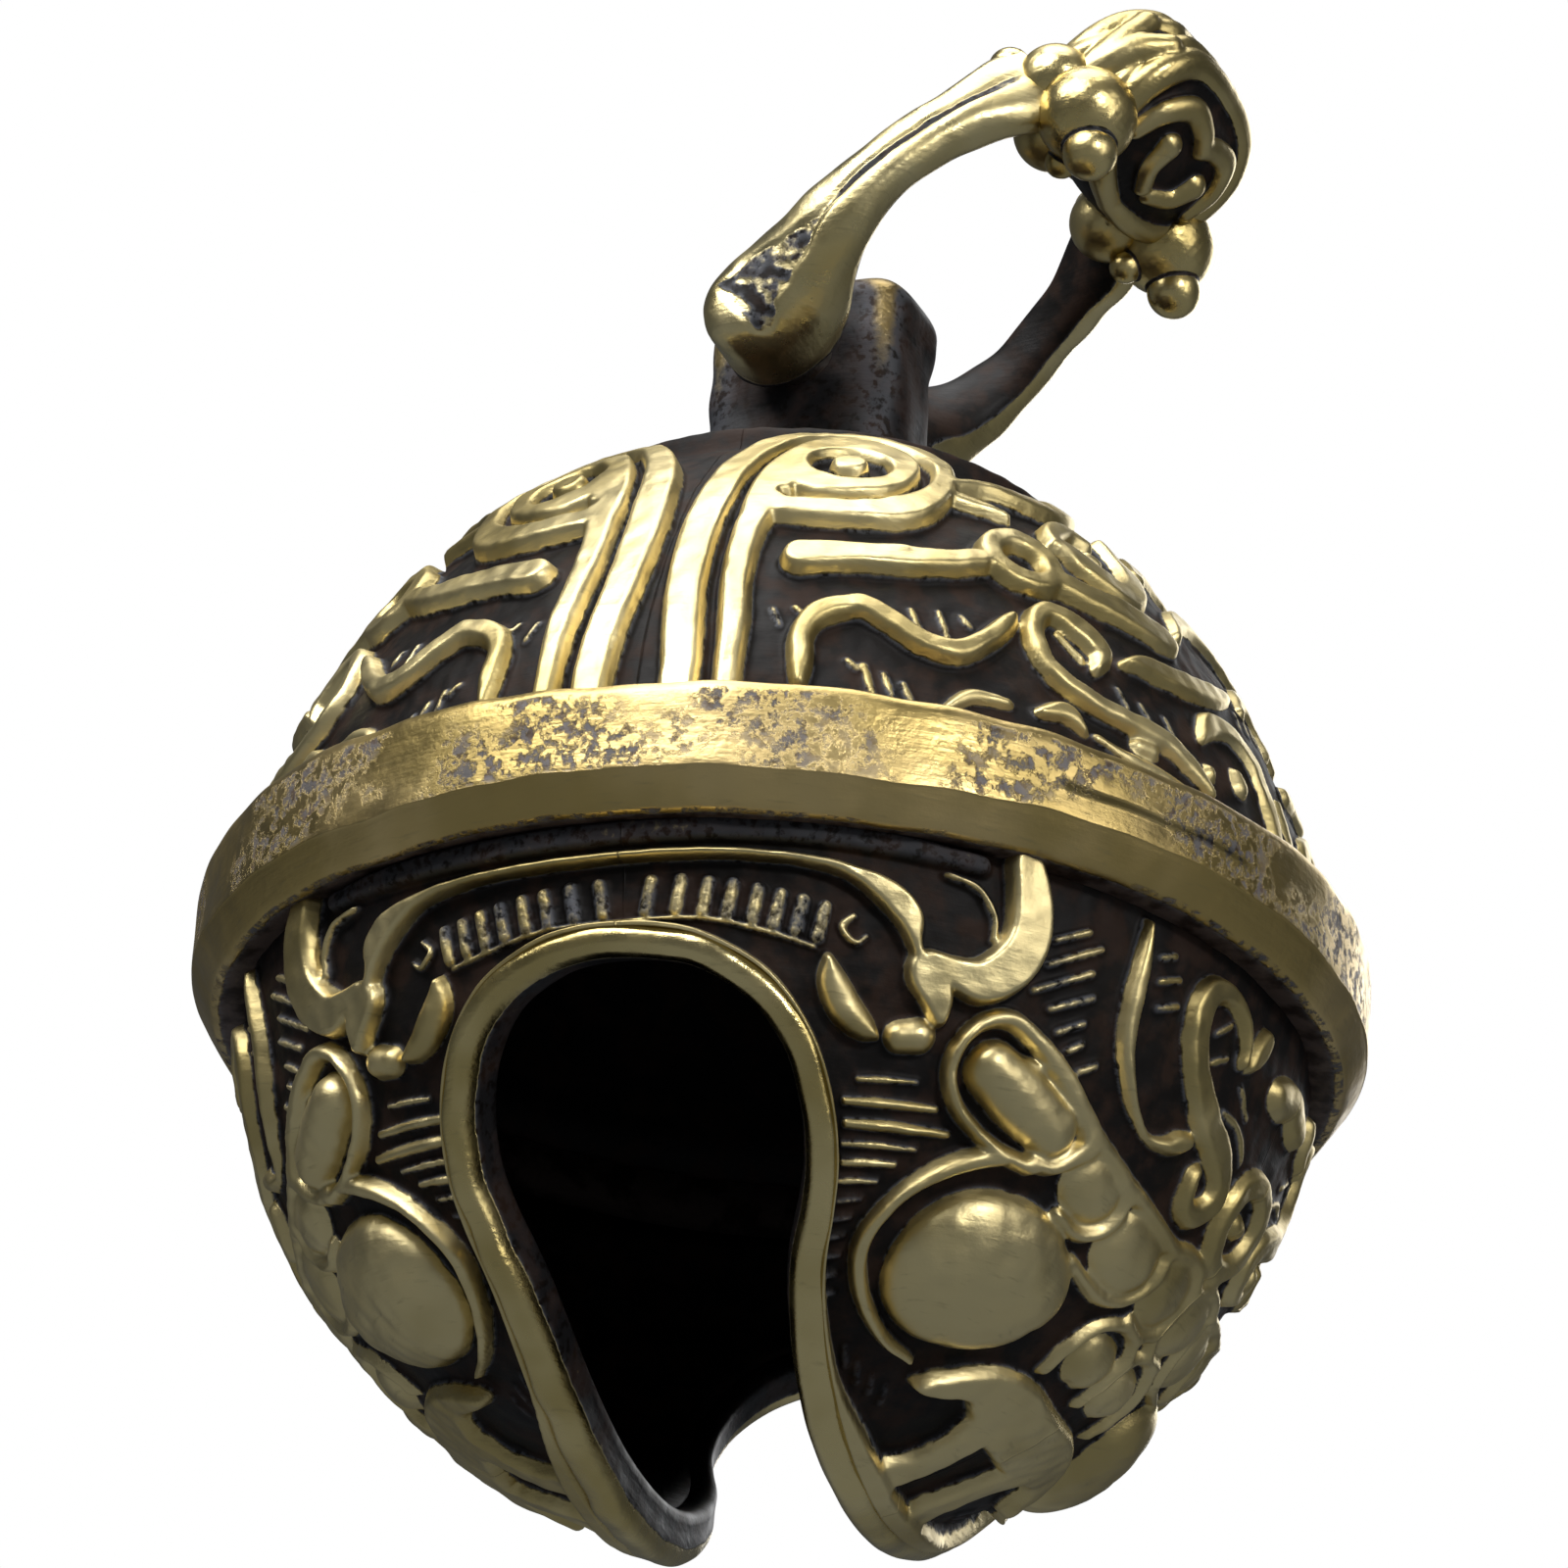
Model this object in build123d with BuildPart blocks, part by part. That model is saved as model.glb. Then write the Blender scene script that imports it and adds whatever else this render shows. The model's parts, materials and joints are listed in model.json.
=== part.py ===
"""Round temple bell with a keyhole mouth, on a swinging bail.

Two cast half shells make the hollow ball. The lower one is cut by a keyhole
mouth front and back, and a slot under the bottom joins the two mouths. A belt
covers the joint of the halves, a rounded rim edges the mouth, and a lug on
the pole carries the pin that the bail swings on. A loose ball rings inside.

Frame: +Z runs up the bell's axis and the origin is its lowest point, on that
axis. The mouths face -Y and +Y. The bail leans towards +X.
"""

import os
from math import cos, radians, sin, sqrt

from build123d import *

# --- Shell ------------------------------------------------------------------
cavity_radius = 12.0
bowl_radius = 13.05
dome_radius = 13.3
band_diameter = 28.0
band_half_height = 1.5
band_lower_radius = 13.5  # where the bevel under the band's face ends
band_bevel_height = 0.9
band_edge = 0.25
band_seat = 0.6  # how far the joint of the shells is let into the band

# --- Mouth ------------------------------------------------------------------
# Drops are measured down from the ball's centre.
mouth_radius = 3.5
mouth_drop = 8.4
slot_shoulder_half_width = 2.6
slot_shoulder_drop = 10.75
slot_half_width = 1.8
slot_foot_drop = 13.2  # the slot's sides are parallel below this
rim_width = 1.05
rim_radius = 13.6

# --- Lug and pivot ----------------------------------------------------------
lug_width = 5.3
lug_thickness = 3.4
lug_top = 19.6  # above the ball's centre
lug_root = 6.0  # below the pivot, where the lug has gone well into the dome
lug_corner = 1.2
lug_edge = 0.5
pivot_height = 17.2  # above the ball's centre
pivot_offset = -0.2  # along X: the lug sits a little off the pole
pivot_turn = 6.0  # degrees that the pivot's axis is turned from Y
pin_radius = 0.9
pin_clearance = 0.05
pin_half_length = 4.2

# --- Bail -------------------------------------------------------------------
bail_lean = 52.0  # degrees from upright towards +X, at rest
pad_radius = 1.5
pad_inner = 2.0
pad_outer = 4.95
arm_outer = 5.6
arm_outer_height = 3.6  # up the bail, where the arms are widest apart
arm_inner = 4.45
arm_inner_height = 4.2
arm_half_width = 0.65
arm_waist_height = 4.6  # where an arm is thinnest
pad_neck = 0.9  # how far the arm's inner face stands outside the pad's
crown_foot = 8.0  # along the bail, from the pivot
crown_tip = 12.8
crown_arch = 0.5  # how far the crown's underside is hollowed at the middle
crown_shoulder = 2.2  # above the crown's foot
shoulder_top = 0.6  # above the crown's foot, where an arm goes into the crown
arm_head_outer = 4.1
arm_head_inner = 2.6
bridge_half_width = 0.8  # the bridge joins the arms inside the crown
bridge_low = 9.6
bridge_high = 10.6
crown_half_length = 3.4
crown_half_depth = 2.0
foot_ball_radius = 1.0
foot_ball_spot = (2.1, 0, 8.3)  # along the pivot, out of the bail's face, up the bail
boss_radius = 1.12
boss_spot = (3.0, 1.5, 9.3)
over_inset = 0.35  # the bosses on the bail's upper face stand this much further in
bead_radius = 0.65
bead_spot = (3.25, 2.3, 8.65)
small_bead_radius = 0.4
small_bead_spot = (2.5, 1.3, 8.05)

# --- Pellet -----------------------------------------------------------------
pellet_radius = 3.8
pellet_clearance = 0.3
pellet_roll = 60.0  # degrees up the side of the cavity from its lowest point

# The rim's inner edge along the slot is the lowest part of the bell.
centre_height = sqrt(rim_radius**2 - slot_half_width**2)
band_radius = band_diameter / 2

side = Plane((0, 0, centre_height), x_dir=(1, 0, 0), z_dir=(0, -1, 0))

turn = radians(pivot_turn)
lean = radians(bail_lean)
pivot = Vector(pivot_offset, 0, centre_height + pivot_height)
pivot_axis = Vector(sin(turn), cos(turn), 0)
across = Vector(cos(turn), -sin(turn), 0)
up_bail = across * sin(lean) + Vector(0, 0, cos(lean))
bail_face = across * cos(lean) - Vector(0, 0, sin(lean))

# The bail is drawn in two views: x along the pivot and y up the bail, and
# from the end of the pivot, with y up the bail again.
bail_front = Plane(pivot, x_dir=pivot_axis, z_dir=bail_face)
bail_side = Plane(pivot, x_dir=bail_face * -1, z_dir=pivot_axis)
lug_front = Plane(pivot, x_dir=across, z_dir=pivot_axis * -1)


def keyhole(grow):
    """The mouth's keyhole outline about the ball's centre, grown by a margin."""
    foot = slot_half_width + grow
    shoulder = slot_shoulder_half_width + grow
    with BuildSketch() as outline:
        with Locations((0, -mouth_drop)):
            Circle(mouth_radius + grow)
        with BuildLine():
            Polyline(
                (0, -mouth_drop),
                (shoulder, -slot_shoulder_drop),
                (foot, -slot_foot_drop),
                (foot, -rim_radius - 1),
                (-foot, -rim_radius - 1),
                (-foot, -slot_foot_drop),
                (-shoulder, -slot_shoulder_drop),
                close=True,
            )
        make_face()
    return outline.sketch


def half_shell(outer, way):
    """One half shell's section; way is 1 for the upper half, -1 for the lower."""
    turn_45 = sqrt(0.5)
    with BuildSketch() as section:
        with BuildLine():
            Line((cavity_radius, 0), (outer, 0))
            ThreePointArc((outer, 0), (outer * turn_45, way * outer * turn_45), (0, way * outer))
            Line((0, way * outer), (0, way * cavity_radius))
            ThreePointArc(
                (0, way * cavity_radius),
                (cavity_radius * turn_45, way * cavity_radius * turn_45),
                (cavity_radius, 0),
            )
        make_face()
    return section.sketch


def on_bail(spot, end, face, inset=0.0):
    """A spot on the bail, given for its back end and under face, at either end and face."""
    along, out, up = spot
    return pivot + pivot_axis * (end * along) + bail_face * (face * (out - inset)) + up_bail * up


os.makedirs("parts", exist_ok=True)

# --- Upper dome -------------------------------------------------------------
with BuildPart() as upper_dome:
    with BuildSketch(side):
        add(half_shell(dome_radius, 1))
    revolve(axis=Axis.Z)

# --- Lower bowl, open at the mouths and along the slot ----------------------
with BuildPart() as lower_bowl:
    with BuildSketch(side):
        add(half_shell(bowl_radius, -1))
    revolve(axis=Axis.Z)
    with BuildSketch(side):
        add(keyhole(rim_width))
    extrude(amount=2 * rim_radius, both=True, mode=Mode.SUBTRACT)

# --- Mouth rim: one rounded bead round both mouths and the slot -------------
rim_shell = Pos(0, 0, centre_height) * (Sphere(rim_radius) - Sphere(cavity_radius))
with BuildPart() as mouth_rim:
    with BuildSketch(side):
        add(keyhole(rim_width))
        add(keyhole(0), mode=Mode.SUBTRACT)
    extrude(amount=2 * rim_radius, both=True)
    add(rim_shell, mode=Mode.INTERSECT)

# --- Equator band, seated on the two shells ---------------------------------
with BuildPart() as equator_band:
    with BuildSketch(side):
        with BuildLine():
            Polyline(
                (cavity_radius, -band_half_height),
                (band_lower_radius - band_edge, -band_half_height),
                (band_lower_radius, band_edge - band_half_height),
                (band_radius, band_bevel_height - band_half_height),
                (band_radius, band_half_height - band_edge),
                (band_radius - band_edge, band_half_height),
                (cavity_radius, band_half_height),
                close=True,
            )
        make_face()
    revolve(axis=Axis.Z)
    add(upper_dome.part, mode=Mode.SUBTRACT)
    add(lower_bowl.part, mode=Mode.SUBTRACT)
    with Locations((0, 0, centre_height)):
        Sphere(cavity_radius + band_seat, mode=Mode.SUBTRACT)

# --- Hanger lug, bored for the pin ------------------------------------------
with BuildPart() as hanger_lug:
    with BuildSketch(lug_front):
        with Locations((0, lug_top - pivot_height)):
            Rectangle(lug_width, lug_top - pivot_height + lug_root, align=(Align.CENTER, Align.MAX))
    extrude(amount=lug_thickness / 2, both=True)
    fillet(hanger_lug.edges().filter_by(Axis.Z), lug_corner)
    fillet(hanger_lug.faces().sort_by(Axis.Z)[-1].edges(), lug_edge)
    with BuildSketch(lug_front):
        Circle(pin_radius + pin_clearance)
    extrude(amount=lug_thickness, both=True, mode=Mode.SUBTRACT)
    with Locations((0, 0, centre_height)):
        Sphere(dome_radius, mode=Mode.SUBTRACT)

# --- Pivot pin, tight in the bail's pads ------------------------------------
with BuildPart() as pivot_pin:
    with BuildSketch(lug_front):
        Circle(pin_radius)
    extrude(amount=pin_half_length, both=True)

# --- Bail: two bowed arms on round pads, joined by a bridge -----------------
with BuildPart() as bail:
    with BuildSketch(bail_front):
        with BuildLine():
            Spline(
                (pad_outer, -pad_radius),
                (pad_outer + 0.1, pad_radius / 3),
                (arm_outer, arm_outer_height),
                (arm_outer - 0.6, crown_foot - 1.8),
                (arm_head_outer, crown_foot + shoulder_top),
            )
            Polyline(
                (arm_head_outer, crown_foot + shoulder_top),
                (arm_head_inner, bridge_high),
                (0, bridge_high),
                (0, bridge_low),
                (arm_head_inner - 0.4, bridge_low),
                (arm_head_inner, crown_foot - 0.2),
            )
            Spline(
                (arm_head_inner, crown_foot - 0.2),
                (arm_inner - 0.55, crown_foot - 1.6),
                (arm_inner, arm_inner_height),
                (arm_inner - 0.4, 2 * pad_radius - 0.2),
                (pad_inner + pad_neck, pad_radius + 0.1),
            )
            Polyline(
                (pad_inner + pad_neck, pad_radius + 0.1),
                (pad_inner, pad_radius - 0.3),
                (pad_inner, -pad_radius),
                (pad_outer, -pad_radius),
            )
        make_face()
        mirror(about=Plane.YZ)
    extrude(amount=2 * pad_radius, both=True)
    with BuildSketch(bail_side):
        Circle(pad_radius)
        with BuildLine():
            Spline(
                (pad_radius * 0.98, pad_radius / 5),
                (pad_radius - 0.35, pad_radius + 0.7),
                (arm_half_width, arm_waist_height),
                (bridge_half_width, crown_foot + 1),
            )
            Polyline(
                (bridge_half_width, crown_foot + 1),
                (bridge_half_width, bridge_high),
                (0, bridge_high),
                (0, 0),
                (pad_radius * 0.98, pad_radius / 5),
            )
        make_face()
        mirror(about=Plane.YZ)
    extrude(amount=2 * arm_outer, both=True, mode=Mode.INTERSECT)
    with BuildSketch(lug_front):
        Circle(pin_radius)
    extrude(amount=pin_half_length, both=True, mode=Mode.SUBTRACT)

# --- Crown: the carved cap over the bridge, with a ball at each foot --------
crown_neck = crown_half_length - 1.2
crown_slope = crown_tip - 0.15
with BuildPart() as bail_crown:
    with BuildSketch(bail_front):
        with BuildLine():
            Line((-crown_neck, crown_foot + crown_arch), (-crown_half_length, crown_foot + shoulder_top))
            ThreePointArc(
                (-crown_half_length, crown_foot + shoulder_top),
                (0.1 - crown_half_length, crown_tip - 1.6),
                (1.3 - crown_half_length, crown_slope),
            )
            ThreePointArc(
                (1.3 - crown_half_length, crown_slope),
                (0, crown_tip),
                (crown_half_length - 1.3, crown_slope),
            )
            ThreePointArc(
                (crown_half_length - 1.3, crown_slope),
                (crown_half_length - 0.1, crown_tip - 1.6),
                (crown_half_length, crown_foot + shoulder_top),
            )
            Line((crown_half_length, crown_foot + shoulder_top), (crown_neck, crown_foot + crown_arch))
            ThreePointArc(
                (crown_neck, crown_foot + crown_arch),
                (0, crown_foot + 2 * crown_arch),
                (-crown_neck, crown_foot + crown_arch),
            )
        make_face()
    extrude(amount=2 * crown_half_depth, both=True)
    with BuildSketch(bail_side):
        with BuildLine():
            Line((-crown_half_depth, crown_foot), (-crown_half_depth, crown_foot + crown_shoulder))
            ThreePointArc(
                (-crown_half_depth, crown_foot + crown_shoulder),
                (0, crown_tip),
                (crown_half_depth, crown_foot + crown_shoulder),
            )
            Line((crown_half_depth, crown_foot + crown_shoulder), (crown_half_depth, crown_foot))
            Line((crown_half_depth, crown_foot), (-crown_half_depth, crown_foot))
        make_face()
    extrude(amount=2 * crown_half_length, both=True, mode=Mode.INTERSECT)
    for end in (-1, 1):
        with Locations(on_bail(foot_ball_spot, end, 1)):
            Sphere(foot_ball_radius)
    add(bail.part, mode=Mode.SUBTRACT)

# --- Bosses: a ball with two beads at each corner of the crown --------------
corners = {
    "boss_front_under": (-1, 1),
    "boss_front_over": (-1, -1),
    "boss_back_under": (1, 1),
    "boss_back_over": (1, -1),
}
bosses = {}
for name, (end, face) in corners.items():
    inset = over_inset if face < 0 else 0.0
    with BuildPart() as boss:
        with Locations(on_bail(boss_spot, end, face, inset)):
            Sphere(boss_radius)
        with Locations(on_bail(bead_spot, end, face, inset)):
            Sphere(bead_radius)
        with Locations(on_bail(small_bead_spot, end, face, inset)):
            Sphere(small_bead_radius)
        add(bail.part, mode=Mode.SUBTRACT)
        add(bail_crown.part, mode=Mode.SUBTRACT)
    bosses[name] = boss

# --- Pellet, rolled up one side of the cavity -------------------------------
pellet_orbit = cavity_radius - pellet_radius - pellet_clearance
roll = radians(pellet_roll)
with BuildPart() as sound_pellet:
    with Locations((pellet_orbit * sin(roll), 0, centre_height - pellet_orbit * cos(roll))):
        Sphere(pellet_radius)

pieces = {
    "upper_dome": upper_dome,
    "lower_bowl": lower_bowl,
    "mouth_rim": mouth_rim,
    "equator_band": equator_band,
    "hanger_lug": hanger_lug,
    "pivot_pin": pivot_pin,
    "bail": bail,
    "bail_crown": bail_crown,
    **bosses,
    "sound_pellet": sound_pellet,
}
for name, piece in pieces.items():
    piece.part.label = name
    export_step(piece.part, f"parts/{name}.step")
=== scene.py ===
"""Looks of a small antique-brass temple bell on a swinging bail.

The relief on the two shells is a height field over azimuth and latitude. Its
strokes are placed in degrees on one quarter of the bell and mirrored to the
other three. Lengths are millimetres until a mesh is made.
"""

import json
from functools import partial
from math import cos, pi, radians, sin, sqrt

import bpy
import numpy as np
from mathutils import Matrix, Vector


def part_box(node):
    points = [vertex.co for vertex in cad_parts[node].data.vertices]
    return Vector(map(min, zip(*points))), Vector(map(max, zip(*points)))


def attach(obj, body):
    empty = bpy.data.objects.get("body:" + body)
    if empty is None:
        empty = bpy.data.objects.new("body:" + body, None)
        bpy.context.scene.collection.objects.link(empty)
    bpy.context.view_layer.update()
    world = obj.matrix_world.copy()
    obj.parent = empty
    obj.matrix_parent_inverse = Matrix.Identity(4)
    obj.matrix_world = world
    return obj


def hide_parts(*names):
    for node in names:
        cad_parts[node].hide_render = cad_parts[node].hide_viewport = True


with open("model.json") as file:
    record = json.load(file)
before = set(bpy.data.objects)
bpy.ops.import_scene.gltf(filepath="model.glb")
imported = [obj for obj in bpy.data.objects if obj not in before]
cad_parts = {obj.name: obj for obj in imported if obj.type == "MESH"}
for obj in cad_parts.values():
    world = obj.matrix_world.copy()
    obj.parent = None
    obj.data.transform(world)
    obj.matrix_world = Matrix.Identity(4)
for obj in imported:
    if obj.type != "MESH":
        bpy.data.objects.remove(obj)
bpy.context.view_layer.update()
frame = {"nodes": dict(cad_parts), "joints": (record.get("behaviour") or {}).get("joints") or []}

MM = 0.001
rng = np.random.default_rng(7)

# --- Sizes read from the frame ---
band_low, band_high = (np.array(corner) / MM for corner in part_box("equator_band"))
BAND_R = (band_high[0] - band_low[0]) / 2
CENTRE_Z = (band_low[2] + band_high[2]) / 2
CENTRE = np.array([0.0, 0.0, CENTRE_Z])
swing = next(j for j in frame["joints"] if j["name"] == "bail_swing")
PIVOT = np.array(swing["pos_m"]) / MM
PIVOT_AXIS = np.array(swing["axis"])
LUG_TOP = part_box("hanger_lug")[1][2] / MM
PELLET_LOW, PELLET_HIGH = (np.array(corner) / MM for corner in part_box("sound_pellet"))

CAVITY_R = 12.0
DOME_FLOOR_R = 12.88
BOWL_FLOOR_R = 12.66
RELIEF_R = 13.2  # the strokes' widths hold on a ball of this radius
BAIL_LEAN = radians(52)

ACROSS = np.array([PIVOT_AXIS[1], -PIVOT_AXIS[0], 0.0])
BAIL_UP = ACROSS * sin(BAIL_LEAN) + np.array([0, 0, cos(BAIL_LEAN)])
BAIL_FACE = ACROSS * cos(BAIL_LEAN) - np.array([0, 0, sin(BAIL_LEAN)])


# --- Helpers ---
class Waves:
    """Smooth seeded noise, a sum of plane waves. Values stay near -1 to 1."""

    def __init__(self, size, count=24):
        way = rng.normal(size=(count, 3))
        way /= np.linalg.norm(way, axis=1)[:, None]
        self.k = way * (2 * pi / size) * rng.uniform(0.6, 1.6, (count, 1))
        self.phase = rng.uniform(0, 2 * pi, count)

    def __call__(self, points):
        wave = np.zeros(len(points))
        for k, phase in zip(self.k, self.phase):
            wave += np.sin(points @ k + phase)
        return wave / sqrt(len(self.phase) / 1.5)


def smooth_line(points, steps=8, closed=False):
    """A Catmull-Rom curve through given points."""
    points = np.array(points, float)
    if len(points) == 2:
        t = np.linspace(0, 1, steps + 1)[:, None]
        return points[0] * (1 - t) + points[1] * t
    if closed:
        ring = np.vstack([points[-1], points, points[0], points[1]])
    else:
        ring = np.vstack([2 * points[0] - points[1], points, 2 * points[-1] - points[-2]])
    out = []
    t = np.linspace(0, 1, steps, endpoint=False)[:, None]
    for a, b, c, d in zip(ring, ring[1:], ring[2:], ring[3:]):
        out.append(
            0.5 * (2 * b + (c - a) * t + (2 * a - 5 * b + 4 * c - d) * t**2 + (3 * b - a - 3 * c + d) * t**3)
        )
    if not closed:
        out.append(ring[-2][None])
    return np.vstack(out)


def evened(points, count):
    """The same closed line with points at even spacing."""
    points = np.vstack([points, points[0]])
    step = np.linalg.norm(np.diff(points, axis=0), axis=1)
    along = np.concatenate([[0], np.cumsum(step)])
    where = np.linspace(0, along[-1], count, endpoint=False)
    return np.stack([np.interp(where, along, column) for column in points.T], axis=1)


def ramp(x, low, high):
    t = np.clip((x - low) / (high - low), 0, 1)
    return t * t * (3 - 2 * t)


def on_sphere(azimuth, latitude):
    """Unit vector; azimuth 0 faces -Y and grows towards +X, in degrees."""
    a, b = np.broadcast_arrays(np.radians(azimuth), np.radians(latitude))
    return np.stack([np.sin(a) * np.cos(b), -np.cos(a) * np.cos(b), np.sin(b)], axis=-1)


def full_turn(count):
    return np.linspace(0, 2 * pi, count, endpoint=False)


def squircle(angle, half, power):
    """A rounded box about the middle: across and along at each angle."""
    c, s = np.cos(angle), np.sin(angle)
    return half[0] * np.sign(c) * np.abs(c) ** (2 / power), half[1] * np.sign(s) * np.abs(s) ** (2 / power)


def azimuth_latitude(unit):
    return (
        np.degrees(np.arctan2(unit[..., 0], -unit[..., 1])),
        np.degrees(np.arcsin(np.clip(unit[..., 2], -1, 1))),
    )


def new_object(name, data):
    thing = bpy.data.objects.new(name, data)
    bpy.context.scene.collection.objects.link(thing)
    return thing


def make_mesh(name, points, faces, body, material, relief=None, replaces=None):
    """Links a piece from points in millimetres, gives it its body and look, and hides the CAD part it
    replaces.
    """
    mesh = bpy.data.meshes.new(name)
    mesh.from_pydata((np.asarray(points) * MM).tolist(), [], faces)
    mesh.update()
    if relief is not None:
        layer = mesh.attributes.new("relief", "FLOAT", "POINT")
        layer.data.foreach_set("value", np.asarray(relief, np.float32))
    piece = new_object(name, mesh)
    mesh.materials.append(material)
    mesh.polygons.foreach_set("use_smooth", [True] * len(mesh.polygons))
    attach(piece, body)
    if replaces:
        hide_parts(replaces)
    return piece


def loft_faces(rows, columns, close_rows=False, close_columns=False, flip=False):
    """Quads over a grid of points stored row by row."""
    i = np.arange(rows if close_rows else rows - 1)
    j = np.arange(columns if close_columns else columns - 1)
    i, j = np.meshgrid(i, j, indexing="ij")
    i, j = i.ravel(), j.ravel()
    i2, j2 = (i + 1) % rows, (j + 1) % columns
    quads = np.stack([i * columns + j, i2 * columns + j, i2 * columns + j2, i * columns + j2], axis=1)
    if flip:
        quads = quads[:, ::-1]
    return quads.tolist()


def cap(row, columns, flip=False):
    """The face that closes one row of a loft."""
    face = list(range(row * columns, (row + 1) * columns))
    return face[::-1] if flip else face


def ball_grid(rows, columns):
    """A unit ball's points, with its poles last, and its faces."""
    a, b = np.meshgrid(np.linspace(0, pi, rows)[1:-1], full_turn(columns), indexing="ij")
    ring = np.stack([np.sin(a) * np.cos(b), np.sin(a) * np.sin(b), np.cos(a)], axis=-1).reshape(-1, 3)
    faces = loft_faces(rows - 2, columns, close_columns=True)
    last = (rows - 3) * columns
    for k in range(columns):
        faces.append([k, (k + 1) % columns, len(ring)])
        faces.append([last + (k + 1) % columns, last + k, len(ring) + 1])
    return np.vstack([ring, [[0, 0, 1], [0, 0, -1]]]), faces


# --- Relief ---
SHOULDER = 0.15  # mm over which a flat-backed strand rises from its edge


MM_PER_DEGREE = RELIEF_R * pi / 180


class Relief:
    """Heights and shine over one quarter of a sphere, mirrored to the other three.

    A stroke is a line of points: azimuth, latitude and half width in mm. The
    whole drawing is turned by a few degrees in front, less towards the side.
    """

    def __init__(self, azimuth, latitude, turn):
        place = on_sphere(azimuth, latitude) * RELIEF_R
        azimuth = azimuth + 0.16 * sideways_waves(place)
        latitude = latitude + 0.14 * upward_waves(place)
        azimuth = np.abs((azimuth + 180) % 360 - 180)
        azimuth = np.minimum(azimuth, 180 - azimuth)
        self.azimuth = azimuth - turn * (1 - ramp(azimuth, 65, 90))
        self.latitude = latitude
        self.shrink = np.cos(np.radians(latitude))
        self.height = np.zeros_like(azimuth)
        self.shine = np.zeros_like(azimuth)

    def depth(self, points, steps):
        """How far inside a stroke's edge, in mm, and the stroke's half width there."""
        line = smooth_line(points, steps)
        reach = line[:, 2].max() / MM_PER_DEGREE + 1.0
        near = (self.latitude > line[:, 1].min() - reach) & (self.latitude < line[:, 1].max() + reach)
        side = reach / np.maximum(self.shrink, 0.05)
        near &= (self.azimuth > line[:, 0].min() - side) & (self.azimuth < line[:, 0].max() + side)
        index = np.nonzero(near)[0]
        best = np.full(len(index), -9.0)
        wide = np.full(len(index), 0.1)
        px, py, c = self.azimuth[index], self.latitude[index], self.shrink[index]
        for (ax, ay, aw), (bx, by, bw) in zip(line, line[1:]):
            dx, dy = (bx - ax) * c, by - ay
            qx, qy = (px - ax) * c, py - ay
            t = np.clip((qx * dx + qy * dy) / np.maximum(dx * dx + dy * dy, 1e-9), 0, 1)
            half = np.maximum(aw + (bw - aw) * t, 0.03)
            inside = half - np.hypot(qx - t * dx, qy - t * dy) * MM_PER_DEGREE
            wide = np.where(inside > best, half, wide)
            best = np.maximum(best, inside)
        return index, best, wide

    def ridge(self, points, height=0.6, domed=False, shine=1.0, steps=6):
        """Raises a strand with a flat back, or a domed one."""
        index, inside, wide = self.depth(points, steps)
        shoulder = wide if domed else np.minimum(wide, SHOULDER)
        t = np.clip(inside / shoulder, 0, 1)
        rise = height * np.sqrt(1 - (1 - t) ** 2) * (inside > 0)
        self.height[index] = np.maximum(self.height[index], rise)
        mark = shine * ramp(inside, -0.03, 0.05)
        self.shine[index] = np.maximum(self.shine[index], mark)

    def groove(self, points, floor=0.1, steps=6):
        """Cuts a line down to a floor height."""
        index, inside, wide = self.depth(points, steps)
        keep = 1 - ramp(inside, -0.03, np.minimum(0.07, wide))
        self.height[index] = np.minimum(self.height[index], floor + (self.height[index] - floor) * keep)
        self.shine[index] *= 1 - ramp(inside, -0.02, 0.04)

    def ring(self, azimuth, latitude, radius, width, height=0.6, floor=None):
        """A raised ring, or a cut one, about a point."""
        c, r = cos(radians(latitude)), radius / MM_PER_DEGREE
        turn = np.linspace(0, 2 * pi, 25)
        x, y = azimuth + r * np.cos(turn) / c, latitude + r * np.sin(turn)
        points = np.stack([x, y, np.full(25, width)], axis=1)
        if floor is None:
            self.ridge(points, height, steps=2)
        else:
            self.groove(points, floor, steps=2)


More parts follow.
